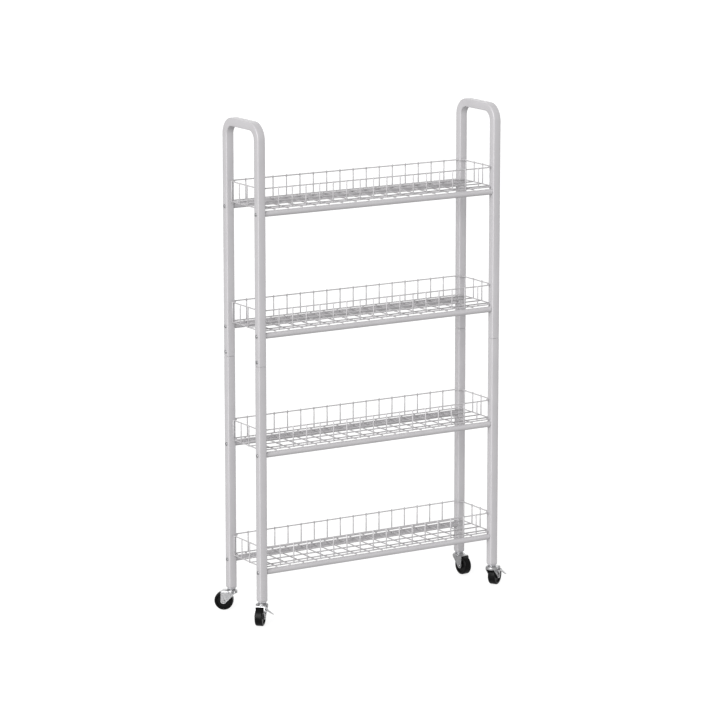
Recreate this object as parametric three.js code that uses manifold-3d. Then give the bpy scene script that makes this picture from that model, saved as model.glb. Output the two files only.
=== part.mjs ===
// A slim rolling pantry cart: two square-tube hoops stand at the ends, four wire baskets hang
// between them on round rails, and a small swivel caster plugs into the foot of each leg.
// Millimetres. X runs along the cart, Y across it from front (-) to back (+), Z is up.
// The origin is the centre of the bounding box at floor level.

import * as THREE from 'three';
import { mergeVertices } from 'three/addons/utils/BufferGeometryUtils.js';
import Module from 'manifold-3d';

const wasm = await Module();
wasm.setup();

// ---- driving dimensions -------------------------------------------------------------------

const GAP = 0.3;                  // air left between two pieces that touch on the real cart

// legs and hoops
const TUBE = 16.6;                // side of the square tube
const TUBE_WALL = 1.2;
const TUBE_CORNER = 1.4;          // outer corner radius of the tube
const INNER_CORNER = 1;           // corner radius of its bore, and of what plugs into it
const LEGS_X = 545;               // between leg centre lines, along the cart
const LEGS_Y = 123;               // between leg centre lines, across the cart
const LEG_BOTTOM = 45.5;          // floor to the foot of the leg tube
const HOOP_TOP = 997.5;           // floor to the top of the hoops
const HOOP_BEND = 27;             // bend radius on the tube's centre line
const BEND_STEPS = 5;
const SEAM = 519.5;               // floor to the joint between hoop and lower leg
const SPIGOT = 45;                // height of the reduced end that plugs into the hoop
const SPIGOT_SIDE = TUBE - 2 * TUBE_WALL - 2 * GAP;

// baskets and the rails under them
const RIMS = [869.5, 629.2, 391.2, 154.5];   // floor to the centre of each rim wire, top first
const WIRE = 2.5;
const LONG_WIRE = 2.4;            // the long floor wires are a little thinner than the rest
const RING_DROP = 39.7;           // rim wire down to the lower ring wire
const UPRIGHT_TOP = 2;            // uprights end this far above the rim wire's centre line
const UPRIGHT_FOOT = 0.9;         // and this far below the ring wire's
const SIDE_WIRES = 16;            // uprights on each long side
const SIDE_PITCH = 30.9;
const FLOOR_WIRES = 16;           // wires across the floor
const FLOOR_PITCH = 30.7;
const FLOOR_SHIFT = -8.5;         // the floor wires stand a little left of the uprights
const LONG_WIRES = [-46, -15.4, 15.4, 46];   // along the floor, with an upright at each end
const LOOP_X = LEGS_X / 2 - 1;    // centre to the loops' end wires
const LOOP_Y = LEGS_Y / 2;        // centre to the loops' long wires
const RAIL_DIAMETER = 11.6;
const RAIL_BORE = 9.2;
const RAIL_DROP = 49.6;           // rim wire down to the rail's centre line
const RAIL_PLUG = 12;             // threaded plug pressed into each rail end
const WELD = 0.25;                // how far welded wires sink into each other
const BEAD = 1.5;                 // side of the weld under a cross wire's end
const FLOOR_SAG = 0.1;            // air between the floor wires and the wires laid along them

// screws
const SCREW_SHANK = 4;
const SCREW_HOLE = 4.8;
const SCREW_HEAD = 7;
const SCREW_HEAD_HEIGHT = 2;
const SCREW_REACH = 10;           // how far a rail screw enters the rail
const JOINT_SCREW_HEIGHT = 528.5; // floor to the screw that locks hoop and lower leg
const JOINT_SCREW_LENGTH = 7;

// casters, in their own frame: +X is the trailing direction and the stem stands on the origin
const WHEEL_RADIUS = 19;
const WHEEL_WIDTH = 15.5;
const WHEEL_SIDES = 20;
const WHEEL_BORE = 2.5;
const TRAIL = 14.8;               // stem axis to axle axis
const AXLE_RADIUS = 2;
const AXLE_HEAD = 3.2;
const FORK_PLATE = 1.4;
const FORK_INSIDE = 17.6;         // clear width between the fork's side plates
const CROWN_RADIUS = 12.5;
const CROWN_BOTTOM = 38.6;
const CROWN_TOP = 41.2;
const SKIRT_BOTTOM = 35.4;
const EYE_RADIUS = 5.7;           // rounded lower end of the fork's side plates
const STEM_RADIUS = 4;
const STEM_TOP = 77;
const SOCKET_TOP = 79;
const COLLAR_TOP = 43.1;

// brake lever, in the caster's frame, on the +Y side
const LEVER_X = 13.3;
const HINGE_Y = 12.2;
const HINGE_Z = 30.5;
const HINGE_RADIUS = 1.1;
const LEVER_WIDTH = 11;
const LEVER_TIP_Y = 26.9;
const LEVER_TIP_Z = 24.2;
const LEVER_THICKNESS = 1.4;
const SHOE_WIDTH = 5.6;
const SHOE_DROP = 7;

const CORNERS = [
  { name: 'left_front', side: -1, depth: -1, trailAngle: 226, brake: 1 },
  { name: 'left_back', side: -1, depth: 1, trailAngle: 141, brake: 0 },
  { name: 'right_front', side: 1, depth: -1, trailAngle: 32, brake: -1 },
  { name: 'right_back', side: 1, depth: 1, trailAngle: 273, brake: 0 },
];

// ---- materials ----------------------------------------------------------------------------

const paint = new THREE.MeshStandardMaterial({ color: 0xb9b7bc, roughness: 0.45, metalness: 0.25 });
const wirePaint = new THREE.MeshStandardMaterial({ color: 0xb2b0b3, roughness: 0.4, metalness: 0.3 });
const zinc = new THREE.MeshStandardMaterial({ color: 0xc4c5c8, roughness: 0.28, metalness: 0.9 });
const darkZinc = new THREE.MeshStandardMaterial({ color: 0x9a9a9e, roughness: 0.35, metalness: 0.85 });
const wheelPlastic = new THREE.MeshStandardMaterial({ color: 0x141414, roughness: 0.5, metalness: 0 });
const socketPlastic = new THREE.MeshStandardMaterial({ color: 0xa9a8ab, roughness: 0.55, metalness: 0 });

// ---- solids -------------------------------------------------------------------------------

// A closed geometry as a manifold, with its doubled vertices and slivers of zero area dropped.
function toSolid(geometry) {
  const bare = geometry.clone();
  bare.deleteAttribute('normal');
  bare.deleteAttribute('uv');
  const merged = mergeVertices(bare, 1e-4);
  const index = merged.index.array;
  const kept = [];
  for (let i = 0; i < index.length; i += 3) {
    const [a, b, c] = [index[i], index[i + 1], index[i + 2]];
    if (a !== b && b !== c && c !== a) kept.push(a, b, c);
  }
  return new wasm.Manifold(new wasm.Mesh({
    numProp: 3,
    vertProperties: merged.attributes.position.array,
    triVerts: Uint32Array.from(kept),
  }));
}

function joined(solids) {
  return solids.reduce((whole, next) => whole.add(next));
}

function toMesh(name, solid, material) {
  const data = solid.getMesh();
  const geometry = new THREE.BufferGeometry();
  geometry.setAttribute('position', new THREE.BufferAttribute(data.vertProperties, 3));
  geometry.setIndex(new THREE.BufferAttribute(data.triVerts, 1));
  geometry.computeVertexNormals();
  const mesh = new THREE.Mesh(geometry, material);
  mesh.name = name;
  return mesh;
}

function box(low, high) {
  const size = high.map((value, axis) => value - low[axis]);
  const middle = high.map((value, axis) => (value + low[axis]) / 2);
  return toSolid(new THREE.BoxGeometry(...size).translate(...middle));
}

// A round bar along X, Y or Z, centred on a point.
function rod(axis, radius, length, centre, sides = 12) {
  const geometry = new THREE.CylinderGeometry(radius, radius, length, sides);
  if (axis === 'x') geometry.rotateZ(Math.PI / 2);
  if (axis === 'z') geometry.rotateX(Math.PI / 2);
  return toSolid(geometry.translate(...centre));
}

// A profile of [radius, height] points turned about Z.
function turned(profile, sides) {
  const points = profile.map(([radius, height]) => new THREE.Vector2(radius, height));
  return toSolid(new THREE.LatheGeometry(points, sides).rotateX(Math.PI / 2));
}

function roundedSquare(side, radius, cornerSteps) {
  const points = [];
  const reach = side / 2 - radius;
  for (let corner = 0; corner < 4; corner += 1) {
    const start = corner * Math.PI / 2;
    const centre = new THREE.Vector2(reach, reach).rotateAround(new THREE.Vector2(), start);
    for (let step = 0; step <= cornerSteps; step += 1) {
      const angle = start + step / cornerSteps * Math.PI / 2;
      points.push(new THREE.Vector2(Math.cos(angle), Math.sin(angle)).multiplyScalar(radius).add(centre));
    }
  }
  return points;
}

function prism(points, bottom, top) {
  const shape = new THREE.Shape(points);
  const options = { depth: top - bottom, bevelEnabled: false, curveSegments: 8 };
  return toSolid(new THREE.ExtrudeGeometry(shape, options).translate(0, 0, bottom));
}

// ---- frame --------------------------------------------------------------------------------

// The centre line of a hoop in the YZ plane. Each straight is one step and each bend is
// BEND_STEPS steps, so that no step is wasted on a straight.
class HoopPath extends THREE.Curve {
  constructor() {
    super();
    const half = LEGS_Y / 2;
    const crest = HOOP_TOP - TUBE / 2;
    this.stops = [new THREE.Vector3(0, -half, SEAM + GAP)];
    for (const turn of [0, 1]) {
      const centre = new THREE.Vector2(turn ? half - HOOP_BEND : HOOP_BEND - half, crest - HOOP_BEND);
      for (let step = 0; step <= BEND_STEPS; step += 1) {
        const angle = Math.PI - (turn + step / BEND_STEPS) * Math.PI / 2;
        const y = centre.x + HOOP_BEND * Math.cos(angle);
        const z = centre.y + HOOP_BEND * Math.sin(angle);
        this.stops.push(new THREE.Vector3(0, y, z));
      }
    }
    this.stops.push(new THREE.Vector3(0, half, SEAM + GAP));
  }

  get steps() {
    return this.stops.length - 1;
  }

  getUtoTmapping(u) {
    return u;
  }

  getPoint(t, target = new THREE.Vector3()) {
    const place = Math.min(t * this.steps, this.steps - 1e-9);
    const step = Math.floor(place);
    return target.lerpVectors(this.stops[step], this.stops[step + 1], place - step);
  }

  // The direction at a stop halves the angle between its two neighbours, which keeps the tube
  // at its full width round the bend.
  getTangent(t, target = new THREE.Vector3()) {
    const stop = Math.round(t * this.steps);
    const before = this.stops[Math.max(stop - 1, 0)];
    const here = this.stops[stop];
    const after = this.stops[Math.min(stop + 1, this.steps)];
    const arriving = here.clone().sub(before).normalize();
    const leaving = after.clone().sub(here).normalize();
    return target.copy(arriving).add(leaving).normalize();
  }
}

function screwHoles(heights, y) {
  return joined(heights.map((z) => rod('x', SCREW_HOLE / 2, TUBE + 2, [0, y, z], 6)));
}

function hoop() {
  const section = new THREE.Shape(roundedSquare(TUBE, TUBE_CORNER, 1));
  section.holes.push(new THREE.Path(roundedSquare(TUBE - 2 * TUBE_WALL, INNER_CORNER, 1)));
  const path = new HoopPath();
  const options = { steps: path.steps, extrudePath: path, bevelEnabled: false };
  let solid = toSolid(new THREE.ExtrudeGeometry(section, options));
  const heights = RIMS.slice(0, 2).map((rim) => rim - RAIL_DROP);
  for (const depth of [-1, 1]) solid = solid.subtract(screwHoles(heights, depth * LEGS_Y / 2));
  return solid;
}

// Drills the screw that locks the joint: through the outer wall only.
function jointHole(side, y) {
  return rod('x', SCREW_HOLE / 2, TUBE / 2 + 1, [side * (TUBE / 4 + 0.5), y, JOINT_SCREW_HEIGHT], 6);
}

function lowerLeg(side) {
  const outer = prism(roundedSquare(TUBE, TUBE_CORNER, 1), LEG_BOTTOM, SEAM);
  const spigot = prism(roundedSquare(SPIGOT_SIDE, INNER_CORNER, 1), SEAM - 1, SEAM + SPIGOT);
  const bore = prism(roundedSquare(TUBE - 2 * TUBE_WALL, INNER_CORNER, 1), LEG_BOTTOM - 1, SEAM - 10);
  const neck = prism(roundedSquare(SPIGOT_SIDE - 2 * TUBE_WALL, INNER_CORNER, 1), SEAM - 11, SEAM + SPIGOT + 1);
  const heights = RIMS.slice(2).map((rim) => rim - RAIL_DROP);
  return outer.add(spigot).subtract(bore).subtract(neck)
    .subtract(screwHoles(heights, 0))
    .subtract(jointHole(side, 0));
}

// ---- baskets ------------------------------------------------------------------------------

// A flat loop of wire that steps in round the inner corner of each leg.
function notchedLoop(centreZ) {
  const legFaceX = LEGS_X / 2 - TUBE / 2 - GAP;
  const legFaceY = LEGS_Y / 2 - TUBE / 2 - GAP;
  const loop = (inset) => {
    const farX = LOOP_X + WIRE / 2 - inset;
    const farY = LOOP_Y + WIRE / 2 - inset;
    const nearX = legFaceX - inset;
    const nearY = legFaceY - inset;
    const corner = [[farX, nearY], [nearX, nearY], [nearX, farY]];
    const points = [];
    for (const [sx, sy] of [[1, 1], [-1, 1], [-1, -1], [1, -1]]) {
      const run = corner.map(([x, y]) => new THREE.Vector2(sx * x, sy * y));
      points.push(...(sx * sy > 0 ? run : run.reverse()));
    }
    return points;
  };
  const shape = new THREE.Shape(loop(0));
  shape.holes.push(new THREE.Path(loop(WIRE)));
  const geometry = new THREE.ExtrudeGeometry(shape, { depth: WIRE, bevelEnabled: false });
  return toSolid(geometry.translate(0, 0, centreZ - WIRE / 2));
}

function wireBox(centre, lengths) {
  const low = centre.map((value, axis) => value - lengths[axis] / 2);
  const high = centre.map((value, axis) => value + lengths[axis] / 2);
  return box(low, high);
}

function spread(count, pitch, middle = 0) {
  return Array.from({ length: count }, (_, i) => middle + (i - (count - 1) / 2) * pitch);
}

// One welded wire basket with its rim wire at height zero. The uprights stand outside the loops,
// the long floor wires lie at the ring's level and the cross wires are welded under it.
function basket() {
  const outsideX = LOOP_X + WIRE - WELD;
  const outsideY = LOOP_Y + WIRE - WELD;
  const height = UPRIGHT_TOP + RING_DROP + UPRIGHT_FOOT;
  const upright = (x, y) => wireBox([x, y, UPRIGHT_TOP - height / 2], [WIRE, WIRE, height]);
  const wires = [notchedLoop(0), notchedLoop(-RING_DROP)];
  for (const x of spread(SIDE_WIRES, SIDE_PITCH)) {
    wires.push(upright(x, -outsideY), upright(x, outsideY));
  }
  for (const y of LONG_WIRES) {
    wires.push(upright(-outsideX, y), upright(outsideX, y));
    wires.push(wireBox([0, y, -RING_DROP], [2 * LOOP_X, LONG_WIRE, LONG_WIRE]));
  }
  const underside = -RING_DROP - WIRE / 2;
  for (const x of spread(FLOOR_WIRES, FLOOR_PITCH, FLOOR_SHIFT)) {
    const z = underside - FLOOR_SAG - WIRE / 2;
    wires.push(wireBox([x, 0, z], [WIRE, 2 * LOOP_Y + WIRE, WIRE]));
    for (const depth of [-1, 1]) {
      wires.push(wireBox([x, depth * LOOP_Y, underside], [BEAD, BEAD, 2 * WELD]));
    }
  }
  return joined(wires);
}

function rail() {
  const length = LEGS_X - TUBE - 2 * GAP;
  const tube = rod('x', RAIL_DIAMETER / 2, length, [0, 0, 0], 12);
  const bore = rod('x', RAIL_BORE / 2, length - 2 * RAIL_PLUG, [0, 0, 0], 6);
  const thread = rod('x', SCREW_HOLE / 2, length + 2, [0, 0, 0], 6);
  return tube.subtract(bore).subtract(thread);
}

// A pan-head screw along Z: the head sits above zero and the shank goes down.
function screw(length) {
  const head = SCREW_HEAD / 2;
  return turned([
    [0, -length],
    [SCREW_SHANK / 2, -length],
    [SCREW_SHANK / 2, GAP],
    [head, GAP],
    [head * 0.75, GAP + SCREW_HEAD_HEIGHT],
    [0, GAP + SCREW_HEAD_HEIGHT],
  ], 6);
}

// ---- casters ------------------------------------------------------------------------------

// The plug in the foot of the leg that holds the caster's stem.
function casterSocket() {
  const plug = prism(roundedSquare(SPIGOT_SIDE, INNER_CORNER, 1), LEG_BOTTOM - 1, SOCKET_TOP);
  const flange = prism(roundedSquare(TUBE - 1.4, TUBE_CORNER, 1), COLLAR_TOP + GAP, LEG_BOTTOM - GAP);
  const bore = rod('z', STEM_RADIUS / Math.cos(Math.PI / 8) + GAP, SOCKET_TOP, [0, 0, SOCKET_TOP], 8);
  return plug.add(flange).subtract(bore);
}

// Stem, the collar that bears on the fork's crown, and the riveted head under the crown.
function casterStem() {
  const under = CROWN_BOTTOM - GAP;
  return turned([
    [0, under - 1.3],
    [5, under - 1.3],
    [5, under],
    [STEM_RADIUS, under],
    [STEM_RADIUS, CROWN_TOP + GAP],
    [9, CROWN_TOP + GAP],
    [8.2, COLLAR_TOP],
    [STEM_RADIUS, COLLAR_TOP],
    [STEM_RADIUS, STEM_TOP],
    [0, STEM_TOP],
  ], 8);
}

// The fork's side plate in the XZ plane, tapering from the crown to the eye round the axle.
function sidePlate(y) {
  const shape = new THREE.Shape();
  shape.moveTo(-8, CROWN_TOP - 1);
  shape.lineTo(-8, 34);
  shape.absarc(TRAIL, WHEEL_RADIUS, EYE_RADIUS, Math.PI * 1.26, Math.PI * 2.02, false);
  shape.lineTo(19.5, CROWN_BOTTOM + FORK_PLATE);
  shape.lineTo(12, CROWN_TOP - 1);
  const options = { depth: FORK_PLATE, bevelEnabled: false, curveSegments: 5 };
  const geometry = new THREE.ExtrudeGeometry(shape, options).rotateX(Math.PI / 2);
  return toSolid(geometry.translate(0, y + FORK_PLATE / 2, 0));
}

function fork(brake) {
  const plateY = FORK_INSIDE / 2 + FORK_PLATE / 2;
  const width = FORK_INSIDE + 2 * FORK_PLATE;
  const crown = rod('z', CROWN_RADIUS, CROWN_TOP - CROWN_BOTTOM, [0, 0, (CROWN_TOP + CROWN_BOTTOM) / 2], 16);
  const skirt = rod('z', CROWN_RADIUS, CROWN_TOP - SKIRT_BOTTOM, [0, 0, (CROWN_TOP + SKIRT_BOTTOM) / 2], 16)
    .subtract(rod('z', CROWN_RADIUS - FORK_PLATE, 20, [0, 0, CROWN_BOTTOM], 16))
    .subtract(box([4, -20, 0], [20, 20, CROWN_TOP + 1]));
  const bridge = box([-6, -width / 2, CROWN_BOTTOM], [19.5, width / 2, CROWN_BOTTOM + FORK_PLATE]);
  let solid = joined([crown, skirt, bridge, sidePlate(plateY), sidePlate(-plateY)]);
  if (brake) solid = solid.add(brakeEars(brake)).subtract(brakeWindow(brake));
  return solid
    .subtract(rod('z', STEM_RADIUS / Math.cos(Math.PI / 8) + GAP, 20, [0, 0, CROWN_TOP], 8))
    .subtract(rod('y', AXLE_RADIUS / Math.cos(Math.PI / 8) + GAP, width + 2, [TRAIL, 0, WHEEL_RADIUS], 8));
}

function wheel() {
  const radius = WHEEL_RADIUS / Math.cos(Math.PI / WHEEL_SIDES);
  const half = WHEEL_WIDTH / 2;
  const face = [[WHEEL_BORE, half], [6, half], [7, half - 2], [14, half - 2], [16, half], [radius, half - 2.2]];
  const back = face.map(([r, y]) => [r, -y]);
  return turned([...back, ...face.reverse(), back[0]], WHEEL_SIDES).rotate([0, 0, 180 / WHEEL_SIDES]);
}

function axle() {
  const plate = FORK_INSIDE / 2 + FORK_PLATE + GAP;
  return turned([
    [0, -plate - 1.2],
    [AXLE_HEAD, -plate - 1.2],
    [AXLE_HEAD, -plate],
    [AXLE_RADIUS, -plate],
    [AXLE_RADIUS, plate],
    [AXLE_HEAD, plate],
    [AXLE_HEAD - 1, plate + 1.4],
    [0, plate + 1.4],
  ], 8);
}

// Two ears on the fork's side plate that carry the brake lever's hinge pin.
function brakeEars(brake) {
  const inner = brake * (FORK_INSIDE / 2 + 0.5);
  const outer = brake * (HINGE_Y + 2.2);
  const ears = [-1, 1].map((end) => {
    const x = LEVER_X + end * (LEVER_WIDTH / 2 + GAP + 0.7);
    const ear = box(
      [x - 0.7, Math.min(inner, outer), HINGE_Z - 2.4],
      [x + 0.7, Math.max(inner, outer), HINGE_Z + 2.4],
    );
    return ear.subtract(rod('x', HINGE_RADIUS + GAP, 4, [x, brake * HINGE_Y, HINGE_Z], 8));
  });
  return joined(ears);
}

function brakeWindow(brake) {
  const near = brake * FORK_INSIDE / 2 - brake;
  const far = brake * (FORK_INSIDE / 2 + FORK_PLATE + 0.4);
  return box(
    [LEVER_X - SHOE_WIDTH / 2 - 0.8, Math.min(near, far), HINGE_Z - SHOE_DROP - 1],
    [LEVER_X + SHOE_WIDTH / 2 + 0.8, Math.max(near, far), HINGE_Z + 0.5],
  );
}

// The lever: hinge pin, a tapering foot tab that slopes out and down, and a shoe that hangs
// in the fork's window beside the wheel.
function brakeLever(brake) {
  const pin = rod('x', HINGE_RADIUS, LEVER_WIDTH + 4, [LEVER_X, HINGE_Y, HINGE_Z], 8);
  const run = LEVER_TIP_Y - HINGE_Y;
  const slope = Math.atan2(HINGE_Z - LEVER_TIP_Z, run);
  const tabLength = run / Math.cos(slope);
  const tab = new THREE.Shape([
    new THREE.Vector2(-LEVER_WIDTH / 2, 0),
    new THREE.Vector2(LEVER_WIDTH / 2, 0),
    new THREE.Vector2(LEVER_WIDTH * 0.45, tabLength * 0.35),
    new THREE.Vector2(2.4, tabLength - 1.6),
    new THREE.Vector2(1.2, tabLength),
    new THREE.Vector2(-1.2, tabLength),
    new THREE.Vector2(-2.4, tabLength - 1.6),
    new THREE.Vector2(-LEVER_WIDTH * 0.45, tabLength * 0.35),
  ]);
  const options = { depth: LEVER_THICKNESS, bevelEnabled: false };
  const plate = toSolid(new THREE.ExtrudeGeometry(tab, options)
    .translate(0, 0, -LEVER_THICKNESS / 2)
    .rotateX(-slope)
    .translate(LEVER_X, HINGE_Y, HINGE_Z));
  const shoe = box(
    [LEVER_X - SHOE_WIDTH / 2, HINGE_Y - 1.7, HINGE_Z - SHOE_DROP],
    [LEVER_X + SHOE_WIDTH / 2, HINGE_Y - 0.3, HINGE_Z + 0.6],
  );
  const knuckle = rod('x', HINGE_RADIUS + 0.5, LEVER_WIDTH, [LEVER_X, HINGE_Y, HINGE_Z], 8);
  const lever = joined([pin, knuckle, plate, shoe]);
  return brake > 0 ? lever : lever.mirror([0, 1, 0]);
}

// ---- assembly -----------------------------------------------------------------------------

const cart = new THREE.Group();

for (const [name, side] of [['left', -1], ['right', 1]]) {
  let solid = hoop();
  for (const depth of [-1, 1]) solid = solid.subtract(jointHole(side, depth * LEGS_Y / 2));
  const mesh = toMesh(`${name}_hoop`, solid, paint);
  mesh.position.x = side * LEGS_X / 2;
  cart.add(mesh);
}

const basketSolid = basket();
const railSolid = rail();
const railScrew = screw(TUBE + GAP + SCREW_REACH);
const jointScrew = screw(JOINT_SCREW_LENGTH);

RIMS.forEach((rim, index) => {
  const tier = new THREE.Group();
  tier.position.z = rim;
  tier.add(toMesh(`basket_${index + 1}`, basketSolid, wirePaint));
  for (const [where, depth] of [['front', -1], ['back', 1]]) {
    const bar = toMesh(`rail_${index + 1}_${where}`, railSolid, paint);
    bar.position.set(0, depth * LEGS_Y / 2, -RAIL_DROP);
    tier.add(bar);
  }
  for (const { name, side, depth } of CORNERS) {
    const fastener = toMesh(`rail_screw_${index + 1}_${name}`, railScrew, zinc);
    fastener.position.set(side * (LEGS_X + TUBE) / 2, depth * LEGS_Y / 2, -RAIL_DROP);
    fastener.rotation.y = side * Math.PI / 2;
    tier.add(fastener);
  }
  cart.add(tier);
});

for (const { name, side, depth, trailAngle, brake } of CORNERS) {
  const corner = new THREE.Group();
  corner.position.set(side * LEGS_X / 2, depth * LEGS_Y / 2, 0);
  corner.add(toMesh(`lower_leg_${name}`, lowerLeg(side), paint));
  const fastener = toMesh(`joint_screw_${name}`, jointScrew, zinc);
  fastener.position.set(side * TUBE / 2, 0, JOINT_SCREW_HEIGHT);
  fastener.rotation.y = side * Math.PI / 2;
  corner.add(fastener);
  corner.add(toMesh(`caster_socket_${name}`, casterSocket(), socketPlastic));
  corner.add(toMesh(`caster_stem_${name}`, casterStem(), zinc));

  const caster = new THREE.Group();
  caster.rotation.z = THREE.MathUtils.degToRad(trailAngle);
  caster.add(toMesh(`fork_${name}`, fork(brake), zinc));
  for (const [piece, solid, material] of [['wheel', wheel(), wheelPlastic], ['axle', axle(), darkZinc]]) {
    const mesh = toMesh(`${piece}_${name}`, solid, material);
    mesh.position.set(TRAIL, 0, WHEEL_RADIUS);
    mesh.rotation.x = Math.PI / 2;
    caster.add(mesh);
  }
  if (brake) caster.add(toMesh(`brake_lever_${name}`, brakeLever(brake), zinc));
  corner.add(caster);
  cart.add(corner);
}

// Put the origin at the middle of the footprint of the whole cart, at floor level.
cart.updateMatrixWorld(true);
const bounds = new THREE.Box3().setFromObject(cart, true);
const middle = bounds.getCenter(new THREE.Vector3());
cart.position.set(-middle.x, -middle.y, -bounds.min.z);

export default cart;
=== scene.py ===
"""Looks of a slim rolling pantry cart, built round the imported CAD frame.

Metres, in the row frame: X runs along the cart, Y from front to back, Z is up.
Every place comes from the frame's boxes; the sizes below are those of the cross sections.
"""

import math

import bmesh
import bpy
from mathutils import Matrix, Vector


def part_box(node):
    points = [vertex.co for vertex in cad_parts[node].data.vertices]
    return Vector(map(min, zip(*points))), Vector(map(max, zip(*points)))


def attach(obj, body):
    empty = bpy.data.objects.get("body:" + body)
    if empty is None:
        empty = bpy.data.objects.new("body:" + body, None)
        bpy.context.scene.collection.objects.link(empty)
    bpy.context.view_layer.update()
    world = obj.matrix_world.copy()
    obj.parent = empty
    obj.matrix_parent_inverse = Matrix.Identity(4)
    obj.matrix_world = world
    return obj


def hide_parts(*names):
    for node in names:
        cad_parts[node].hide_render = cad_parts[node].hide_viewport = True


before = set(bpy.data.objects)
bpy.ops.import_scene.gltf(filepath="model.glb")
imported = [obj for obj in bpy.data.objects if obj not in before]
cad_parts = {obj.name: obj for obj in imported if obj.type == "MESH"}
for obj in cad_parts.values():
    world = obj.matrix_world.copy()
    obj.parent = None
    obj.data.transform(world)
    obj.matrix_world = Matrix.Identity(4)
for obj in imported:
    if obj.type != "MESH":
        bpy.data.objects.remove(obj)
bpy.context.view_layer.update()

# ---- sizes ---------------------------------------------------------------------------------

MM = 0.001
X, Y, Z = Vector((1, 0, 0)), Vector((0, 1, 0)), Vector((0, 0, 1))

TUBE = 16.6 * MM
TUBE_CORNER = 1.7 * MM
BEND_RADIUS = 27 * MM          # hoop bend, on the tube's centre line
SPIGOT = 13 * MM
TUBE_LIP = 0.5 * MM            # eased end of a cut tube
SEAM_GAP = 0.3 * MM            # between a hoop and the lower leg under it
LEG_GAP = 0.4 * MM             # between a leg and the notched wires round it

WIRE = 2.5 * MM
WELD = 0.25 * MM               # how far welded wires sink into each other
RING_DROP = 39.7 * MM          # rim wire down to the lower ring wire
UPRIGHT_TOP = 2 * MM           # uprights end this far above the rim wire's centre line
UPRIGHT_FOOT = 0.9 * MM        # and this far below the ring wire's
RIM_BEND = 3.2 * MM
SIDE_WIRES, SIDE_PITCH = 16, 30.9 * MM
FLOOR_WIRES, FLOOR_PITCH, FLOOR_SHIFT = 16, 30.7 * MM, -8.5 * MM
LONG_WIRES = [-46 * MM, -15.4 * MM, 15.4 * MM, 46 * MM]
CROSS_DROP = WIRE * 0.93       # cross wires hang this far under the ring wire
CROSS_OVERHANG = WIRE * 0.45   # and end this far outside its centre line
CROSS_WELD = WIRE * 0.46       # and are welded to it this far down
BEAD, CROSS_BEAD = 1.55 * MM, 1.3 * MM   # radii of the weld beads
WIRE_SIDES = 12

RAIL = 11.6 * MM
SCREW_HEAD = 7 * MM

WHEEL_RADIUS = 19 * MM
WHEEL_WIDTH = 15.5 * MM
FORK_INSIDE = 17.6 * MM
FORK_PLATE = 1.4 * MM
CROWN_RADIUS = 12.5 * MM
STEM_HOLE = 4.4 * MM
EYE_RADIUS = 5.7 * MM
RIM_WIDTH = 1.7 * MM           # border left round the pressed panel of a side plate
PANEL_DEPTH = 0.45 * MM
FORK_LEAD, FORK_TRAIL = -9.5 * MM, 21 * MM   # ends of the folded channel before it is trimmed
THROUGH = 20 * MM              # cutting tools reach this far to each side of a fork
SKIRT_END = 5 * MM             # the crown's skirt runs this far past the stem's axis
AXLE_HOLE = 2.3 * MM
SOCKET_FLANGE, SOCKET_PLUG = 13.4 * MM, 12.6 * MM
HINGE_X, HINGE_OUT, HINGE_UP = 13.3 * MM, 12.2 * MM, 30.5 * MM   # the brake lever's pin
PIN_REACH, PIN_RADIUS = 7.5 * MM, 1.1 * MM                       # half its length, its radius

TIERS = range(1, 5)
CORNERS = ("left_front", "left_back", "right_front", "right_back")
BRAKED = ("left_front", "right_front")


# ---- reading the frame ---------------------------------------------------------------------

def middle(node):
    low, high = (Vector(corner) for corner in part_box(node))
    return (low + high) / 2


def low_of(node):
    return Vector(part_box(node)[0])


def high_of(node):
    return Vector(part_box(node)[1])


# ---- mesh helpers --------------------------------------------------------------------------

def make_piece(name, mesh_builder, material, angle=35):
    """A new object from a bmesh, smooth except across edges sharper than angle."""
    mesh = bpy.data.meshes.new(name)
    bmesh.ops.recalc_face_normals(mesh_builder, faces=mesh_builder.faces)
    mesh_builder.to_mesh(mesh)
    mesh_builder.free()
    mesh.materials.append(material)
    mesh.shade_smooth()
    mesh.set_sharp_from_angle(angle=math.radians(angle))
    piece = bpy.data.objects.new(name, mesh)
    bpy.context.scene.collection.objects.link(piece)
    return piece


def settle(piece, body, node):
    """The piece rides on a body and stands for one CAD node."""
    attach(piece, body)
    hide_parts(node)


def fillet(points, radius, steps=6, closed=False):
    """The polyline with each corner rounded to an arc."""
    count = len(points)
    result = []
    for i, point in enumerate(points):
        if not closed and i in (0, count - 1):
            result.append(Vector(point))
            continue
        back = (Vector(points[i - 1]) - point).normalized()
        ahead = (Vector(points[(i + 1) % count]) - point).normalized()
        half = back.angle(ahead) / 2
        reach = radius / math.tan(half)
        centre = point + (back + ahead).normalized() * (radius / math.sin(half))
        start = point + back * reach - centre
        turn = math.pi - 2 * half
        axis = back.cross(ahead).normalized()
        for step in range(steps + 1):
            result.append(centre + Matrix.Rotation(-turn * step / steps, 3, axis) @ start)
    return result


def directions(points, closed):
    """The direction of a path at each of its points."""
    count = len(points)
    result = []
    for i in range(count):
        before = points[i - 1] if closed or i > 0 else points[i]
        after = points[(i + 1) % count] if closed or i < count - 1 else points[i]
        result.append((Vector(after) - Vector(before)).normalized())
    return result


def first_normal(direction):
    """Any unit vector across a direction."""
    other = Z if abs(direction.z) < 0.9 else X
    return direction.cross(other).normalized()


def bridge(bm, lower, upper):
    """A band of quads between two rings of the same count."""
    count = len(lower)
    for i in range(count):
        j = (i + 1) % count
        bm.faces.new((lower[i], lower[j], upper[j], upper[i]))


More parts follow.
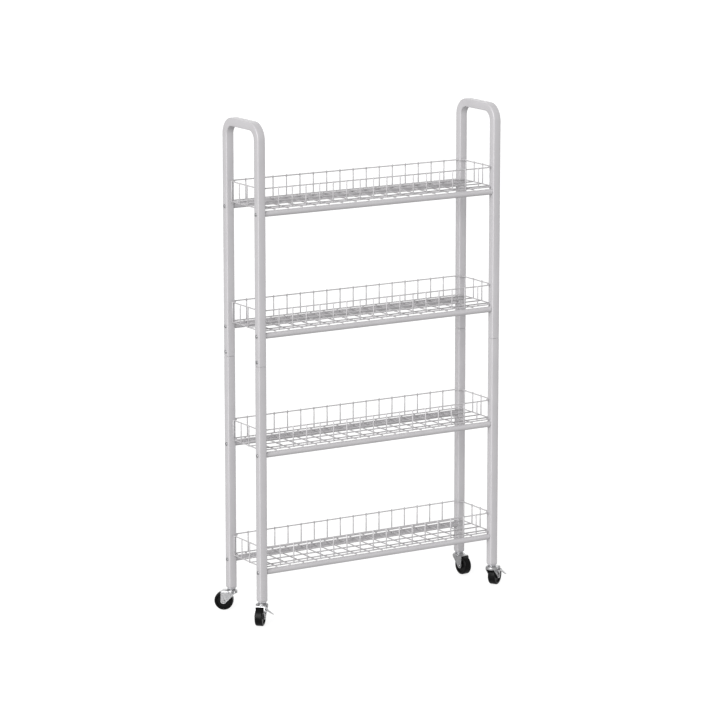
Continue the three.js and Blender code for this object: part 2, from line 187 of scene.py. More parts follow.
def sweep(bm, points, section, closed=False, normal=None, scales=None):
    """Carries a 2D section along a path; open ends are capped. scales sizes each station."""
    tangents = directions(points, closed)
    across = normal or first_normal(tangents[0])
    rings = []
    for i, (point, tangent) in enumerate(zip(points, tangents)):
        across = (across - tangent * across.dot(tangent)).normalized()
        up = tangent.cross(across)
        size = scales[i] if scales else 1
        ring = [bm.verts.new(Vector(point) + (across * a + up * b) * size) for a, b in section]
        rings.append(ring)
    for lower, upper in zip(rings, rings[1:]):
        bridge(bm, lower, upper)
    if closed:
        bridge(bm, rings[-1], rings[0])
    else:
        bm.faces.new(list(reversed(rings[0])))
        bm.faces.new(rings[-1])


def circle(radius, sides):
    """A round section, as 2D points."""
    turns = [2 * math.pi * i / sides for i in range(sides)]
    return [(radius * math.cos(t), radius * math.sin(t)) for t in turns]


def rounded_square(side, radius, steps=4):
    """A square section with rounded corners, as 2D points."""
    reach = side / 2 - radius
    points = []
    for quarter in range(4):
        turn = quarter * math.pi / 2
        cx = reach * (math.cos(turn) - math.sin(turn))
        cy = reach * (math.sin(turn) + math.cos(turn))
        for step in range(steps + 1):
            t = turn + math.pi / 2 * step / steps
            points.append((cx + radius * math.cos(t), cy + radius * math.sin(t)))
    return points


def round_bar(bm, start, end, radius, sides=24, chamfer=0.0):
    """A straight round bar, its ends eased by a small chamfer."""
    start, end = Vector(start), Vector(end)
    if not chamfer:
        sweep(bm, [start, end], circle(radius, sides))
        return
    along = (end - start).normalized()
    stations = [start, start + along * chamfer, end - along * chamfer, end]
    small = 1 - chamfer / radius
    sweep(bm, stations, circle(radius, sides), scales=[small, 1, 1, small])


def wire(bm, points, closed=False):
    """A length of basket wire, its cut ends eased."""
    if closed:
        sweep(bm, points, circle(WIRE / 2, WIRE_SIDES), closed=True)
        return
    along = directions(points, False)
    ease = 0.35 * MM
    start = [points[0], points[0] + along[0] * ease]
    end = [points[-1] - along[-1] * ease, points[-1]]
    path = [*start, *points[1:-1], *end]
    scales = [0.75, *[1] * (len(path) - 2), 0.75]
    sweep(bm, path, circle(WIRE / 2, WIRE_SIDES), scales=scales)


def lathe(bm, profile, sides=48, place=Matrix()):
    """Turns [radius, height] points about Z. A radius of zero makes a closed tip."""
    rings = []
    for radius, height in profile:
        if radius == 0:
            rings.append([bm.verts.new(place @ Vector((0, 0, height)))])
            continue
        ring = []
        for i in range(sides):
            turn = 2 * math.pi * i / sides
            point = Vector((radius * math.cos(turn), radius * math.sin(turn), height))
            ring.append(bm.verts.new(place @ point))
        rings.append(ring)
    pairs = list(zip(rings, rings[1:]))
    if profile[0][0] and profile[-1][0]:
        pairs.append((rings[-1], rings[0]))
    for lower, upper in pairs:
        if len(lower) > 1 and len(upper) > 1:
            bridge(bm, lower, upper)
            continue
        tip, ring = (lower[0], upper) if len(lower) == 1 else (upper[0], lower)
        for i in range(sides):
            bm.faces.new((tip, ring[i], ring[(i + 1) % sides]))


def arc(centre, radius, start, end, steps):
    """Points of an arc in a [radius, height] profile, angles in degrees."""
    result = []
    for step in range(steps + 1):
        turn = math.radians(start + (end - start) * step / steps)
        result.append((centre[0] + radius * math.cos(turn), centre[1] + radius * math.sin(turn)))
    return result


def cut(piece, tool, operation="DIFFERENCE"):
    """Applies one boolean to the piece's mesh and removes the tool."""
    modifier = piece.modifiers.new("cut", "BOOLEAN")
    modifier.operation = operation
    modifier.solver = "EXACT"
    modifier.object = tool
    apply_modifiers(piece)
    bpy.data.objects.remove(tool)


def apply_modifiers(piece):
    """Bakes the piece's modifiers into its mesh."""
    evaluated = piece.evaluated_get(bpy.context.evaluated_depsgraph_get())
    mesh = bpy.data.meshes.new_from_object(evaluated)
    piece.modifiers.clear()
    piece.data = mesh


def merge_close(piece, reach=0.01 * MM):
    """Takes out the slivers that a boolean or a bevel leaves behind, and closes any hole."""
    bm = bmesh.new()
    bm.from_mesh(piece.data)
    bmesh.ops.remove_doubles(bm, verts=bm.verts, dist=reach)
    bmesh.ops.dissolve_degenerate(bm, edges=bm.edges, dist=reach)
    bmesh.ops.holes_fill(bm, edges=[edge for edge in bm.edges if edge.is_boundary], sides=0)
    bm.to_mesh(piece.data)
    bm.free()


def soften(piece, width, segments=2):
    """Rounds the sharp edges of a boolean result."""
    merge_close(piece)
    modifier = piece.modifiers.new("soften", "BEVEL")
    modifier.width = width
    modifier.segments = segments
    modifier.limit_method = "ANGLE"
    modifier.angle_limit = math.radians(40)
    apply_modifiers(piece)
    merge_close(piece)
    piece.data.shade_smooth()
    piece.data.set_sharp_from_angle(angle=math.radians(35))


def copy_of(piece, name, place):
    """Another object with the same mesh, moved by a matrix baked into its own copy."""
    mesh = piece.data.copy()
    mesh.name = name
    mesh.transform(place)
    twin = bpy.data.objects.new(name, mesh)
    bpy.context.scene.collection.objects.link(twin)
    return twin


# ---- materials -----------------------------------------------------------------------------

class Shader:
    """A small wrapper that adds nodes to one Principled material."""

    def __init__(self, name, **sockets):
        self.material = bpy.data.materials.new(name)
        self.material.use_nodes = True
        self.nodes = self.material.node_tree.nodes
        self.links = self.material.node_tree.links
        self.surface = self.nodes["Principled BSDF"]
        self.place = self.nodes.new("ShaderNodeTexCoord").outputs["Object"]
        for socket, value in sockets.items():
            self.surface.inputs[socket.replace("_", " ")].default_value = value

    def noise(self, scale, detail=3.0, roughness=0.5, stretch=None):
        node = self.nodes.new("ShaderNodeTexNoise")
        node.inputs["Scale"].default_value = scale
        node.inputs["Detail"].default_value = detail
        node.inputs["Roughness"].default_value = roughness
        source = self.place
        if stretch:
            mapping = self.nodes.new("ShaderNodeMapping")
            mapping.inputs["Scale"].default_value = stretch
            self.links.new(source, mapping.inputs["Vector"])
            source = mapping.outputs["Vector"]
        self.links.new(source, node.inputs["Vector"])
        return node.outputs["Fac"]

    def ramp(self, value, stops):
        """Turns a value into a colour through (place, colour) stops."""
        node = self.nodes.new("ShaderNodeValToRGB")
        elements = node.color_ramp.elements
        while len(elements) < len(stops):
            elements.new(0.5)
        for element, (place, colour) in zip(elements, stops):
            element.position = place
            element.color = (*colour, 1)
        self.links.new(value, node.inputs["Fac"])
        return node.outputs["Color"]

    def map_range(self, value, low, high, new_low, new_high):
        node = self.nodes.new("ShaderNodeMapRange")
        sockets = ("From Min", "From Max", "To Min", "To Max")
        for socket, number in zip(sockets, (low, high, new_low, new_high)):
            node.inputs[socket].default_value = number
        self.links.new(value, node.inputs["Value"])
        return node.outputs["Result"]

    def mix(self, factor, first, second):
        """Blends two colours. A Mix node's sockets share their names, so colours go by number."""
        node = self.nodes.new("ShaderNodeMix")
        node.data_type = "RGBA"
        colour_a, colour_b, blended = node.inputs[6], node.inputs[7], node.outputs[2]
        self.links.new(factor, node.inputs["Factor"])
        self.links.new(first, colour_a)
        self.links.new(second, colour_b)
        return blended

    def bump(self, height, distance, strength=0.5, under=None):
        node = self.nodes.new("ShaderNodeBump")
        node.inputs["Distance"].default_value = distance
        node.inputs["Strength"].default_value = strength
        self.links.new(height, node.inputs["Height"])
        if under:
            self.links.new(under, node.inputs["Normal"])
        return node.outputs["Normal"]

    def into(self, socket, source):
        self.links.new(source, self.surface.inputs[socket])


def powder_coat(name, light, dark):
    """Silver-grey powder coat: orange peel, faint clouding and rub marks."""
    paint = Shader(name, Metallic=0.15, Coat_Weight=0.08, Coat_Roughness=0.35)
    clouds = paint.noise(22, detail=4)
    tone = paint.ramp(clouds, [(0.3, dark), (0.7, light)])
    sparkle = paint.noise(2600, detail=1)
    flake = paint.ramp(sparkle, [(0.35, dark), (0.65, light)])
    rub = paint.map_range(paint.noise(90, detail=5, roughness=0.7), 0.35, 0.7, 0.0, 0.35)
    paint.into("Base Color", paint.mix(rub, tone, flake))
    paint.into("Roughness", paint.map_range(paint.noise(140, detail=4), 0.3, 0.7, 0.42, 0.55))
    peel = paint.bump(paint.noise(750, detail=2), 0.00012, 0.35)
    paint.into("Normal", paint.bump(paint.noise(35, detail=2), 0.0004, 0.12, under=peel))
    return paint.material


def zinc_plate(name, light, dark, rough):
    """Bright zinc on stamped steel, with drawing marks and dulled patches."""
    metal = Shader(name, Metallic=0.9)
    patches = metal.noise(160, detail=5, roughness=0.6)
    metal.into("Base Color", metal.ramp(patches, [(0.32, dark), (0.68, light)]))
    metal.into("Roughness", metal.map_range(metal.noise(420, detail=3), 0.3, 0.7, *rough))
    marks = metal.noise(500, detail=2, stretch=(1, 1, 6))
    metal.into("Normal", metal.bump(marks, 0.00008, 0.3))
    return metal.material


def black_plastic(name):
    """Moulded wheel plastic, scuffed greyer where it has rolled."""
    plastic = Shader(name, Specular_IOR_Level=0.1)
    scuffs = plastic.noise(260, detail=6, roughness=0.7)
    stops = [(0.4, (0.002, 0.002, 0.002)), (0.75, (0.007, 0.007, 0.0075))]
    plastic.into("Base Color", plastic.ramp(scuffs, stops))
    plastic.into("Roughness", plastic.map_range(plastic.noise(120, detail=4), 0.3, 0.7, 0.26, 0.4))
    plastic.into("Normal", plastic.bump(plastic.noise(900, detail=3), 0.0001, 0.4))
    return plastic.material


def grey_plastic(name):
    """Moulded plug plastic with a fine matt grain."""
    plastic = Shader(name, Specular_IOR_Level=0.45)
    stops = [(0.3, (0.4, 0.4, 0.42)), (0.7, (0.5, 0.5, 0.52))]
    plastic.into("Base Color", plastic.ramp(plastic.noise(200), stops))
    plastic.into("Roughness", plastic.map_range(plastic.noise(300), 0.3, 0.7, 0.45, 0.6))
    plastic.into("Normal", plastic.bump(plastic.noise(1200), 0.00008, 0.3))
    return plastic.material


def floor_paper(name):
    """A back-lit white sweep: mostly its own light, so that shadows on it stay faint."""
    paper = Shader(name, Roughness=0.9, Specular_IOR_Level=0.1)
    paper.surface.inputs["Emission Color"].default_value = (1, 1, 1, 1)
    paper.surface.inputs["Emission Strength"].default_value = 0.8
    stops = [(0.3, (0.245, 0.245, 0.245)), (0.7, (0.255, 0.255, 0.255))]
    paper.into("Base Color", paper.ramp(paper.noise(0.8, detail=2), stops))
    return paper.material


FRAME_PAINT = powder_coat("frame_paint", (0.45, 0.44, 0.452), (0.42, 0.41, 0.422))
WIRE_PAINT = powder_coat("wire_paint", (0.43, 0.42, 0.43), (0.39, 0.381, 0.39))
CASTER_ZINC = zinc_plate("caster_zinc", (0.46, 0.46, 0.465), (0.34, 0.34, 0.35), rough=(0.28, 0.42))
SCREW_ZINC = zinc_plate("screw_zinc", (0.4, 0.395, 0.4), (0.3, 0.3, 0.31), rough=(0.3, 0.44))
WHEEL_BLACK = black_plastic("wheel_black")
SOCKET_GREY = grey_plastic("socket_grey")


# ---- frame tubes ---------------------------------------------------------------------------

def leg_centre(corner):
    """The middle of the caster stem, which stands on its leg's centre line."""
    return middle(f"caster_stem_{corner}")


def hoop(side):
    """The bent square tube of one end, closed at its feet by a small eased lip."""
    node = f"{side}_hoop"
    front = leg_centre(f"{side}_front")
    back = leg_centre(f"{side}_back")
    foot = low_of(node).z
    crest = high_of(node).z - TUBE / 2
    corners = [Vector((front.x, front.y, crest)), Vector((back.x, back.y, crest))]
    start = Vector((front.x, front.y, foot))
    end = Vector((back.x, back.y, foot))
    bent = fillet([start, *corners, end], BEND_RADIUS, steps=18)
    path = [start, start + Z * TUBE_LIP, *bent[1:-1], end + Z * TUBE_LIP, end]
    eased = 1 - 2 * TUBE_LIP / TUBE
    scales = [eased, *[1] * (len(path) - 2), eased]
    bm = bmesh.new()
    sweep(bm, path, rounded_square(TUBE, TUBE_CORNER), normal=X, scales=scales)
    return make_piece(f"{node}_tube", bm, FRAME_PAINT)


def lower_leg(corner):
    """Straight leg with a swaged-in foot and, inside the joint, its spigot."""
    node = f"lower_leg_{corner}"
    centre = leg_centre(corner)
    foot = low_of(node).z
    top = high_of(node).z
    seam = low_of(f"{corner.split('_')[0]}_hoop").z
    joint = seam - SEAM_GAP
    stations = [(foot, 0.84), (foot + 0.5 * MM, 0.9), (foot + 1.3 * MM, 0.955), (foot + 2.4 * MM, 0.99)]
    stations += [(foot + 4 * MM, 1), (joint - TUBE_LIP, 1), (joint, 1 - 2 * TUBE_LIP / TUBE)]
    path = [Vector((centre.x, centre.y, z)) for z, _ in stations]
    bm = bmesh.new()
    sweep(bm, path, rounded_square(TUBE, TUBE_CORNER), normal=X, scales=[s for _, s in stations])
    spigot = [Vector((centre.x, centre.y, z)) for z in (seam - 5 * MM, top)]
    sweep(bm, spigot, rounded_square(SPIGOT, 1 * MM), normal=X)
    return make_piece(f"{node}_tube", bm, FRAME_PAINT)


def rail(node):
    """A round rail between two legs, its rims eased."""
    low, high = low_of(node), high_of(node)
    centre = middle(node)
    bm = bmesh.new()
    round_bar(bm, (low.x, centre.y, centre.z), (high.x, centre.y, centre.z), RAIL / 2, 40, 0.4 * MM)
    return make_piece(f"{node}_tube", bm, FRAME_PAINT)


def build_frame():
    """Hoops, lower legs and rails."""
    for side in ("left", "right"):
        settle(hoop(side), "frame", f"{side}_hoop")
    for corner in CORNERS:
        settle(lower_leg(corner), "frame", f"lower_leg_{corner}")
    for tier in TIERS:
        for where in ("front", "back"):
            node = f"rail_{tier}_{where}"
            settle(rail(node), "frame", node)


# ---- baskets -------------------------------------------------------------------------------

def notched_loop(centre, leg, half_x, half_y, z):
    """A wire loop that steps in round the inner corner of each leg."""
    clear = TUBE / 2 + WIRE / 2 + LEG_GAP
    near_x = abs(leg.x - centre.x) - clear
    near_y = abs(leg.y - centre.y) - clear
    corner = [(half_x, near_y), (near_x, near_y), (near_x, half_y)]
    points = []
    for sx, sy in ((1, 1), (-1, 1), (-1, -1), (1, -1)):
        run = [Vector((centre.x + sx * x, centre.y + sy * y, z)) for x, y in corner]
        points += run if sx * sy > 0 else run[::-1]
    return fillet(points, RIM_BEND, steps=5, closed=True)


def weld(bm, point, radius=BEAD, squash=0.8):
    """A small flattened bead of weld metal where two wires meet."""
    place = Matrix.Translation(point) @ Matrix.Diagonal((1, 1, squash, 1))
    profile = [(0, -radius), *arc((0, 0), radius, -50, 50, 3), (0, radius)]
    lathe(bm, profile, sides=8, place=place)


def basket(tier):
    """Two loops, uprights welded outside them, long floor wires and cross wires under the ring."""
    node = f"basket_{tier}"
    low, high = low_of(node), high_of(node)
    centre = middle(node)
    step = WIRE - WELD
    half_x = (high.x - low.x - WIRE) / 2 - step
    half_y = (high.y - low.y - WIRE) / 2 - step
    rim = high.z - UPRIGHT_TOP
    ring = rim - RING_DROP
    bm = bmesh.new()
    for z in (rim, ring):
        wire(bm, notched_loop(centre, leg_centre("left_front"), half_x, half_y, z), closed=True)

    stands = []
    for i in range(SIDE_WIRES):
        x = (i - (SIDE_WIRES - 1) / 2) * SIDE_PITCH
        stands += [((x, side * half_y), (0, side)) for side in (-1, 1)]
    for y in LONG_WIRES:
        stands += [((side * half_x, y), (side, 0)) for side in (-1, 1)]
    for (x, y), (out_x, out_y) in stands:
        spot = Vector((centre.x + x, centre.y + y, 0))
        out = Vector((out_x, out_y, 0))
        foot, tip = ring - UPRIGHT_FOOT, rim + UPRIGHT_TOP
        wire(bm, [spot + out * step + Z * z for z in (foot, tip)])
        for z in (ring, rim):
            weld(bm, spot + out * step / 2 + Z * z)

    for y in LONG_WIRES:
        wire(bm, [Vector((centre.x + side * half_x, centre.y + y, ring)) for side in (-1, 1)])

    for i in range(FLOOR_WIRES):
        x = centre.x + FLOOR_SHIFT + (i - (FLOOR_WIRES - 1) / 2) * FLOOR_PITCH
        z = ring - CROSS_DROP
        reach = half_y + CROSS_OVERHANG
        wire(bm, [Vector((x, centre.y - reach, z)), Vector((x, centre.y + reach, z))])
        for y in (-half_y, *LONG_WIRES, half_y):
            weld(bm, Vector((x, centre.y + y, ring - CROSS_WELD)), radius=CROSS_BEAD)
    return make_piece(f"{node}_wires", bm, WIRE_PAINT, angle=50)


def build_baskets():
    for tier in TIERS:
        settle(basket(tier), "frame", f"basket_{tier}")


# ---- screws --------------------------------------------------------------------------------

def screw_master(name, shank):
    """A pan-head machine screw with a hexagon socket, its seat at the origin and its head up Z."""
    head = SCREW_HEAD / 2
    rise = 2.1 * MM
    profile = [(0, -shank), (1.6 * MM, -shank), (2 * MM, -shank + 0.6 * MM), (2 * MM, 0), (head, 0)]
    profile += [(head, 0.7 * MM), *arc((head - 1.3 * MM, 0.8 * MM), 1.3 * MM, 0, 90, 5)]
    profile += [(0, rise)]
    bm = bmesh.new()
    lathe(bm, profile, sides=32)
    piece = make_piece(name, bm, SCREW_ZINC)
    bm = bmesh.new()
    sweep(bm, [Vector((0, 0, 0.8 * MM)), Vector((0, 0, 3 * MM))], circle(1.55 * MM, 6), normal=X)
    cut(piece, make_piece(f"{name}_socket", bm, SCREW_ZINC))
    soften(piece, 0.08 * MM, 1)
    return piece


def build_screws():
    rail_screw = screw_master("rail_screw_master", 26 * MM)
    joint_screw = screw_master("joint_screw_master", 7 * MM)
    kinds = []
    for tier in TIERS:
        kinds += [(f"rail_screw_{tier}_{corner}", corner, rail_screw) for corner in CORNERS]
    kinds += [(f"joint_screw_{corner}", corner, joint_screw) for corner in CORNERS]
    for index, (node, corner, master) in enumerate(kinds):
        side = -1 if corner.startswith("left") else 1
        centre = middle(node)
        seat = Vector((leg_centre(corner).x + side * TUBE / 2, centre.y, centre.z))
        spin = Matrix.Rotation(math.radians(23 * index), 4, "Z")
        tilt = Matrix.Rotation(math.radians(90 * side), 4, "Y")
        piece = copy_of(master, f"{node}_screw", Matrix.Translation(seat) @ tilt @ spin)
        settle(piece, "frame", node)
    for master in (rail_screw, joint_screw):
        bpy.data.objects.remove(master)


# ---- casters -------------------------------------------------------------------------------

def caster_place(corner):
    """The caster's own frame: stem axis at the origin on the floor, +X along the trail."""
    stem = leg_centre(corner)
    wheel = middle(f"wheel_{corner}")
    turn = math.atan2(wheel.y - stem.y, wheel.x - stem.x)
    return Matrix.Translation((stem.x, stem.y, 0)) @ Matrix.Rotation(turn, 4, "Z")


def trail(corner):
    """How far the wheel's axle stands from the stem's axis."""
    stem = leg_centre(corner)
    wheel = middle(f"wheel_{corner}")
    return math.hypot(wheel.x - stem.x, wheel.y - stem.y)


def on_axle(axle_x):
    """Carries Z onto the wheel's axle, in the caster's own frame."""
    return Matrix.Translation((axle_x, 0, WHEEL_RADIUS)) @ Matrix.Rotation(math.radians(90), 4, "X")


def socket(corner):
    """The plastic plug in the foot of the leg, with its flange."""
    node = f"caster_socket_{corner}"
    centre = leg_centre(corner)
    low, high = low_of(node).z, high_of(node).z
    foot = low_of(f"lower_leg_{corner}").z
    stations = [(low, 0.9), (low + 0.4 * MM, 1), (foot - 0.6 * MM, 1), (foot - 0.1 * MM, 0.96)]
    path = [Vector((centre.x, centre.y, z)) for z, _ in stations]
    bm = bmesh.new()
    sweep(bm, path, rounded_square(SOCKET_FLANGE, 2.6 * MM), normal=X, scales=[s for _, s in stations])
    plug = [Vector((centre.x, centre.y, z)) for z in (foot - 0.4 * MM, high)]
    sweep(bm, plug, rounded_square(SOCKET_PLUG, 1 * MM), normal=X)
    return make_piece(f"{node}_plug", bm, SOCKET_GREY)


def stem(corner):
    """Kingpin: riveted head under the crown, domed collar over it, shank up into the leg."""
    node = f"caster_stem_{corner}"
    centre = leg_centre(corner)
    low, high = low_of(node).z, high_of(node).z
    shank = 4 * MM
    collar = 41.4 * MM
    profile = [(0, low), (3.4 * MM, low), (4.8 * MM, low + 0.6 * MM), (5 * MM, low + 1.3 * MM)]
    profile += [(shank, low + 1.3 * MM), (shank, collar), (8.9 * MM, collar)]
    profile += arc((8.3 * MM, collar + 0.7 * MM), 0.7 * MM, -40, 80, 4)
    profile += [(6.2 * MM, collar + 1.9 * MM), (shank, collar + 1.9 * MM)]
    profile += [(shank, high - 1 * MM), (3 * MM, high), (0, high)]
    bm = bmesh.new()
    lathe(bm, profile, place=Matrix.Translation((centre.x, centre.y, 0)))
    return make_piece(f"{node}_kingpin", bm, CASTER_ZINC)


def fork_channel():
    """A folded channel over the wheel, long sided, before its sides are trimmed to shape."""
    outer = FORK_INSIDE / 2 + FORK_PLATE
    top = 40 * MM
    bend = 2 * MM
    foot = 10 * MM
    outline = [Vector((0, side * outer, z)) for side, z in ((-1, foot), (-1, top), (1, top), (1, foot))]
    skin = fillet(outline, bend, steps=5)
    lining = [Vector((0, side * (outer - FORK_PLATE), z)) for side, z in
              ((1, foot), (1, top - FORK_PLATE), (-1, top - FORK_PLATE), (-1, foot))]
    loop = skin + fillet(lining, bend - FORK_PLATE, steps=5)
    bm = bmesh.new()
    ends = []
    for x in (FORK_LEAD, FORK_TRAIL):
        ends.append([bm.verts.new((x, p.y, p.z)) for p in loop])
    bridge(bm, ends[0], ends[1])
    bm.faces.new(list(reversed(ends[0])))
    bm.faces.new(ends[1])
    return make_piece("channel", bm, CASTER_ZINC)


def side_prism(name, outline, near, far):
    """A prism through the fork along Y, from an outline of (x, z) points."""
    bm = bmesh.new()
    ends = []
    for y in (near, far):
        ends.append([bm.verts.new((x, y, z)) for x, z in outline])
    bridge(bm, ends[0], ends[1])
    bm.faces.new(list(reversed(ends[0])))
    bm.faces.new(ends[1])
    return make_piece(name, bm, CASTER_ZINC)


def plate_outline(axle_x):
    """The side plate's outline, tapering to the axle eye."""
    eye = arc((axle_x, WHEEL_RADIUS), EYE_RADIUS, 227, 364, 18)
    lead = [(-8.6 * MM, 45 * MM), (-8.6 * MM, 36 * MM), (-7.4 * MM, 33.6 * MM)]
    trailing = [(20.4 * MM, 36.5 * MM), (18.8 * MM, 39.2 * MM), (17.5 * MM, 45 * MM)]
    return [*lead, *eye, *trailing]


def panel_outline(axle_x):
    """The pressed panel inside the plate's rim."""
    eye = arc((axle_x, WHEEL_RADIUS), EYE_RADIUS - RIM_WIDTH, 227, 364, 18)
    edge = axle_x + EYE_RADIUS - RIM_WIDTH
    lead = [(-3.6 * MM, 36.4 * MM), (-4.8 * MM, 33.9 * MM)]
    trailing = [(edge, 34.6 * MM), (edge - 1.8 * MM, 36.4 * MM)]
    return [*lead, *eye, *trailing]


def block(name, low, high):
    """A plain box to cut with or to join on."""
    bm = bmesh.new()
    bmesh.ops.create_cube(bm, size=1)
    size = Vector(high) - Vector(low)
    centre = (Vector(high) + Vector(low)) / 2
    bm.transform(Matrix.Translation(centre) @ Matrix.Diagonal((*size, 1)))
    return make_piece(name, bm, CASTER_ZINC)


def crown(name):
    """The round swivel cap: a shallow recess round the stem and a skirt below its rounded rim."""
    radius = CROWN_RADIUS
    top = 41.2 * MM
    under = 38.7 * MM
    skirt = 35.4 * MM
    profile = [(STEM_HOLE, under), (STEM_HOLE, top - 0.5 * MM), (6 * MM, top - 0.5 * MM)]
    profile += [(8 * MM, top), *arc((radius - 1.8 * MM, top - 1.8 * MM), 1.8 * MM, 80, 0, 6)]
    profile += [(radius, skirt), (radius - FORK_PLATE, skirt), (radius - FORK_PLATE, under)]
    bm = bmesh.new()
    lathe(bm, profile, sides=64)
    return make_piece(name, bm, CASTER_ZINC)


def add_brake_mount(piece, brake):
    """Two ears that carry the lever's pin, and the window that its shoe hangs in."""
    face = brake * (FORK_INSIDE / 2 + FORK_PLATE)
    ys = sorted((face - brake * 1 * MM, brake * (HINGE_OUT + 2.2 * MM)))
    for side in (-1, 1):
        x = HINGE_X + side * 6.5 * MM
        low = (x - 0.7 * MM, ys[0], HINGE_UP - 2.4 * MM)
        high = (x + 0.7 * MM, ys[1], HINGE_UP + 2.4 * MM)
        ear = block("ear", low, high)
        soften(ear, 0.5 * MM, 3)
        cut(piece, ear, "UNION")
    ys = sorted((brake * 7 * MM, brake * 10.6 * MM))
    low = (HINGE_X - 3.6 * MM, ys[0], 22.5 * MM)
    high = (HINGE_X + 3.6 * MM, ys[1], 31 * MM)
    cut(piece, block("window", low, high))


def fork_master(name, axle_x, brake):
    """The stamped fork in the caster's own frame. brake is the side of the lever, or 0."""
    piece = fork_channel()
    piece.name = name
    cut(piece, side_prism("outline", plate_outline(axle_x), -THROUGH, THROUGH), "INTERSECT")
    bed = FORK_INSIDE / 2 + FORK_PLATE - PANEL_DEPTH
    for near, far in ((-THROUGH, -bed), (bed, THROUGH)):
        cut(piece, side_prism("panel", panel_outline(axle_x), near, far))
    cap = crown("cap")
    behind = block("behind", (SKIRT_END, -THROUGH, 20 * MM), (THROUGH, THROUGH, 39.2 * MM))
    cut(cap, behind)
    cut(piece, cap, "UNION")
    if brake:
        add_brake_mount(piece, brake)
    bm = bmesh.new()
    ends = [(axle_x, y, WHEEL_RADIUS) for y in (-THROUGH, THROUGH)]
    round_bar(bm, *ends, AXLE_HOLE, 24)
    cut(piece, make_piece("axle_hole", bm, CASTER_ZINC))
    bm = bmesh.new()
    round_bar(bm, (0, 0, 30 * MM), (0, 0, 50 * MM), STEM_HOLE, 32)
    cut(piece, make_piece("stem_hole", bm, CASTER_ZINC))
    soften(piece, 0.22 * MM, 2)
    return piece


def wheel_master(name):
    """The wheel about Z, centred on the origin: rounded tread, dished web and a hub."""
    half = WHEEL_WIDTH / 2
    face = [(2.5 * MM, half), (5.6 * MM, half), (6.1 * MM, half - 0.4 * MM)]
    face += [(6.4 * MM, half - 2.2 * MM), (13.6 * MM, half - 2.4 * MM)]
    face += [(14.2 * MM, half - 0.5 * MM), (14.8 * MM, half)]
    tread = arc((WHEEL_RADIUS - 2.4 * MM, half - 2.4 * MM), 2.4 * MM, 90, 0, 7)
    outer = [*face, (16 * MM, half), *tread]
    inner = [(r, -h) for r, h in reversed(outer)]
    bm = bmesh.new()
    lathe(bm, [*outer, *inner], sides=96)
    return make_piece(name, bm, WHEEL_BLACK)


def axle(corner, place, axle_x):
    """A riveted axle: a turned head on one side, a peened one on the other."""
    plate = FORK_INSIDE / 2 + FORK_PLATE
    shank, rivet = 2 * MM, 3.2 * MM
    tail_end = -plate - 1.2 * MM
    profile = [(0, tail_end), (2.7 * MM, tail_end), (rivet, tail_end + 0.6 * MM), (rivet, -plate)]
    profile += [(shank, -plate), (shank, plate), (rivet, plate), (rivet, plate + 0.3 * MM)]
    profile += arc((1.9 * MM, plate + 0.2 * MM), 1.3 * MM, 10, 80, 4)
    profile += [(1.2 * MM, plate + 1.1 * MM), (0, plate + 1 * MM)]
    bm = bmesh.new()
    lathe(bm, profile, sides=32, place=place @ on_axle(axle_x))
    return make_piece(f"axle_{corner}_rivet", bm, SCREW_ZINC)


def ribbon(bm, stations, thickness, along):
    """A bent strip: stations are (centre point, half width), the width lies along one axis."""
    points = [point for point, _ in stations]
    tangents = directions(points, False)
    rings = []
    for (point, half), tangent in zip(stations, tangents):
        out = tangent.cross(along).normalized() * thickness / 2
        side = along * half
        square = ((-1, -1), (1, -1), (1, 1), (-1, 1))
        rings.append([bm.verts.new(point + side * a + out * b) for a, b in square])
    for lower, upper in zip(rings, rings[1:]):
        bridge(bm, lower, upper)
    bm.faces.new(list(reversed(rings[0])))
    bm.faces.new(rings[-1])


def lever(corner, place, brake):
    """The foot lever: a shoe beside the wheel, a bend over its pin and a tapering tab."""
    hinge = Vector((HINGE_X, brake * HINGE_OUT, HINGE_UP))
    out = Vector((0, brake, 0))
    tip = hinge + out * 14.7 * MM - Z * 6.3 * MM
    bend = [
        (hinge + out * -1.2 * MM - Z * 7 * MM, 2.6),
        (hinge + out * -1.0 * MM - Z * 4 * MM, 2.9),
        (hinge + out * -0.9 * MM - Z * 1.2 * MM, 4.2),
        (hinge + out * -0.7 * MM + Z * 0.9 * MM, 5.2),
        (hinge + out * 0.9 * MM + Z * 1.5 * MM, 5.5),
        (hinge + out * 3.2 * MM + Z * 0.5 * MM, 5.4),
        (hinge + out * 6.5 * MM - Z * 1.2 * MM, 5.0),
        (hinge + out * 10 * MM - Z * 3.4 * MM, 4.0),
        (hinge + out * 12.8 * MM - Z * 5.3 * MM, 2.8),
        (tip - out * 0.6 * MM + Z * 0.4 * MM, 1.9),
        (tip, 1.2),
    ]
    bm = bmesh.new()
    ribbon(bm, [(point, half * MM) for point, half in bend], 1.2 * MM, X)
    piece = make_piece(f"brake_lever_{corner}_plate", bm, CASTER_ZINC)
    smooth = piece.modifiers.new("smooth", "SUBSURF")
    smooth.levels = 2
    apply_modifiers(piece)
    bm = bmesh.new()
    bm.from_mesh(piece.data)
    round_bar(bm, hinge - X * PIN_REACH, hinge + X * PIN_REACH, PIN_RADIUS, 20, 0.3 * MM)
    bm.transform(place)
    name = piece.name
    bpy.data.objects.remove(piece)
    return make_piece(name, bm, CASTER_ZINC)


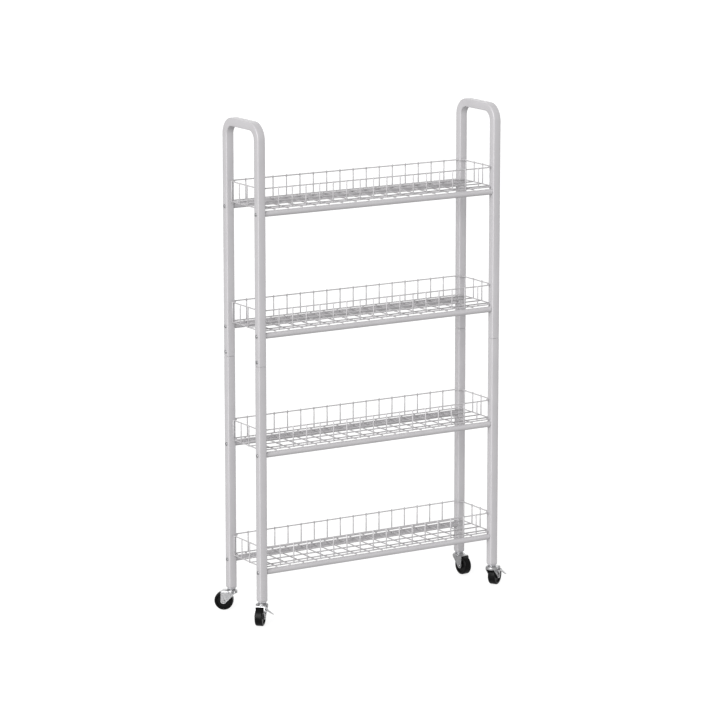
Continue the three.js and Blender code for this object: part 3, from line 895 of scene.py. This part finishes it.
def build_casters():
    forks = {}
    wheel = wheel_master("wheel_master")
    for corner in CORNERS:
        place = caster_place(corner)
        axle_x = trail(corner)
        brake = 0
        if corner in BRAKED:
            local = place.inverted() @ middle(f"brake_lever_{corner}")
            brake = 1 if local.y > 0 else -1
        if brake not in forks:
            forks[brake] = fork_master(f"fork_master_{brake + 1}", axle_x, brake)
        settle(socket(corner), "frame", f"caster_socket_{corner}")
        settle(stem(corner), "frame", f"caster_stem_{corner}")
        body = f"caster_{corner}"
        fork = copy_of(forks[brake], f"fork_{corner}_stamping", place)
        settle(fork, body, f"fork_{corner}")
        settle(axle(corner, place, axle_x), body, f"axle_{corner}")
        tyre = copy_of(wheel, f"wheel_{corner}_moulding", place @ on_axle(axle_x))
        settle(tyre, f"wheel_{corner}", f"wheel_{corner}")
        if brake:
            settle(lever(corner, place, brake), f"brake_{corner}", f"brake_lever_{corner}")
    for master in (*forks.values(), wheel):
        bpy.data.objects.remove(master)


# ---- stage, light and camera ---------------------------------------------------------------

FLOOR_REACH = 40               # the floor runs past the picture at every view
SKY_STRENGTH = 0.6
CAMERA_LEFT, CAMERA_AHEAD, CAMERA_UP = 3.65, 5.9275, 1.9325   # from the middle of the cart's feet
CAMERA_AZIMUTH, CAMERA_PITCH = math.radians(31.571), math.radians(11.689)
CAMERA_LENS = 177.3


def build_stage():
    """A white floor that throws no light back up, so that undersides stay in soft shade."""
    bm = bmesh.new()
    bmesh.ops.create_grid(bm, x_segments=1, y_segments=1, size=FLOOR_REACH)
    floor = make_piece("floor", bm, floor_paper("floor_paper"))
    floor.visible_diffuse = False
    floor.visible_glossy = False


def sun_light(name, toward, strength, softness):
    """A broad soft light from far off, so that the floor stays evenly lit."""
    data = bpy.data.lights.new(name, "SUN")
    data.energy = strength
    data.angle = math.radians(softness)
    light = bpy.data.objects.new(name, data)
    light.rotation_mode = "QUATERNION"
    light.rotation_quaternion = Vector(toward).to_track_quat("Z", "Y")
    bpy.context.scene.collection.objects.link(light)


def build_light():
    """White surroundings, a key from the left front and a weaker fill from behind."""
    world = bpy.data.worlds.new("studio")
    world.use_nodes = True
    sky = world.node_tree.nodes["Background"].inputs
    sky["Color"].default_value = (1, 1, 1, 1)
    sky["Strength"].default_value = SKY_STRENGTH
    bpy.context.scene.world = world
    sun_light("key", (-0.76, -0.53, 0.375), 4.0, 50)
    sun_light("fill", (0.7, 0.7, 0.15), 1.3, 80)


def build_camera():
    """In front and to the left of the cart, looking down a little through a long lens."""
    data = bpy.data.cameras.new("camera")
    data.sensor_width = 36
    data.lens = CAMERA_LENS
    data.clip_end = 60
    camera = bpy.data.objects.new("camera", data)
    centre = (leg_centre("left_front") + leg_centre("right_back")) / 2
    camera.location = (centre.x - CAMERA_LEFT, centre.y - CAMERA_AHEAD, CAMERA_UP)
    camera.rotation_euler = (math.pi / 2 - CAMERA_PITCH, 0, -CAMERA_AZIMUTH)
    bpy.context.scene.collection.objects.link(camera)
    bpy.context.scene.camera = camera


build_camera()
build_light()
build_stage()
build_frame()
build_baskets()
build_screws()
build_casters()

bpy.context.scene.view_settings.view_transform = "Standard"
